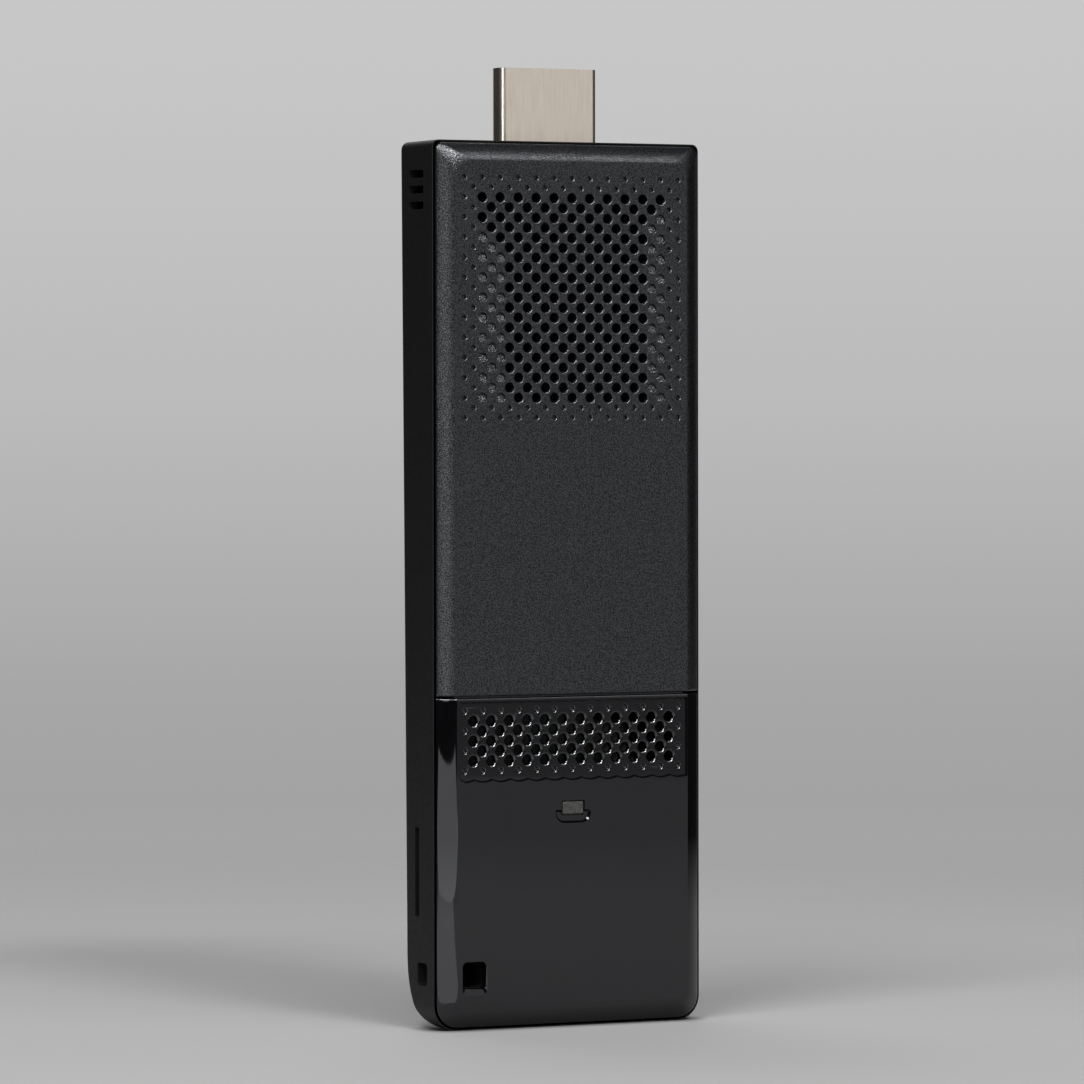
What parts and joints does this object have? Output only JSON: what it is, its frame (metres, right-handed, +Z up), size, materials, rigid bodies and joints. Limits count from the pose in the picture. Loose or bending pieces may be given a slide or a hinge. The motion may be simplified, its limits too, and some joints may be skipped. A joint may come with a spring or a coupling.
{
  "type": "hdmi stick computer",
  "caption": "Slim stick computer with a video plug on its end, perforated covers over a cooling fan, side ports, a card slot and a lanyard corner.",
  "frame": {"origin": "middle of the box round the part, at the level of the foot end", "axes": "+X across the front to the port side, +Y from the grille front to the back, +Z up along the length towards the plug"},
  "size_m": [0.038, 0.012, 0.1226],
  "materials": {
    "satin_black": "fine satin moulding",
    "matte_charcoal": "matte with a fine sparkle grain",
    "gloss_black": "piano gloss",
    "window_smoke": "translucent smoke grey",
    "nickel": "warm drawn nickel plate",
    "steel": "plain stamped",
    "brass": "plain",
    "copper": null,
    "board_green": "solder mask",
    "chip_black": "moulded epoxy",
    "pad_grey": "soft",
    "ceramic_tan": "fired ceramic and film",
    "port_blue": "moulded blue",
    "lead_dark": "lead insulation",
    "socket_ivory": "moulded ivory"
  },
  "bodies": {
    "case": {"rear_shell": "satin_black", "front_cover": "matte_charcoal", "lower_cover": "gloss_black", "light_pipe": "window_smoke", "status_led": "socket_ivory", "hdmi_shell": "nickel", "hdmi_insulator": "chip_black", "hdmi_contacts": "brass", "main_board": "board_green", "board_screws": "steel", "processor": "chip_black", "thermal_pad": "pad_grey", "heat_spreader": "copper", "fin_stack": "copper", "spreader_posts": "brass", "spreader_screws": "steel", "memory_chips": "chip_black", "storage_chip": "chip_black", "power_controller": "chip_black", "clock_crystal": "steel", "inductors": "chip_black", "capacitors": "ceramic_tan", "radio_module": "steel", "antenna": "ceramic_tan", "antenna_lead": "lead_dark", "fan_housing": "chip_black", "fan_lid": "chip_black", "fan_bearing": "brass", "fan_stator": "steel", "fan_coils": "copper", "fan_screws": "steel", "fan_socket": "socket_ivory", "fan_lead": "lead_dark", "card_shell": "steel", "card_frame": "chip_black", "card_contacts": "brass", "usb3_shell": "nickel", "usb3_tongue": "port_blue", "usb3_contacts": "brass", "usb2_shell": "nickel", "usb2_tongue": "chip_black", "usb2_contacts": "brass", "inlet_shell": "nickel", "inlet_tongue": "chip_black", "inlet_contacts": "brass", "switch_body": "steel"},
    "fan": {"fan_rotor": "chip_black", "hub_ring": "brass", "fan_magnet": "chip_black", "fan_shaft": "steel"},
    "button": {"power_button": "gloss_black", "switch_plunger": "socket_ivory"}
  },
  "joints": [
    {"name": "fan_spin", "type": "hinge", "parent": "case", "child": "fan", "pos_m": [0.0006, 0, 0.0927], "axis": [0, 1, 0], "continuous": true},
    {"name": "button_press", "type": "slide", "parent": "case", "child": "button", "axis": [-1, 0, 0], "range_m": [0, 0.00035], "stiffness_N_per_m": 200}
  ]
}
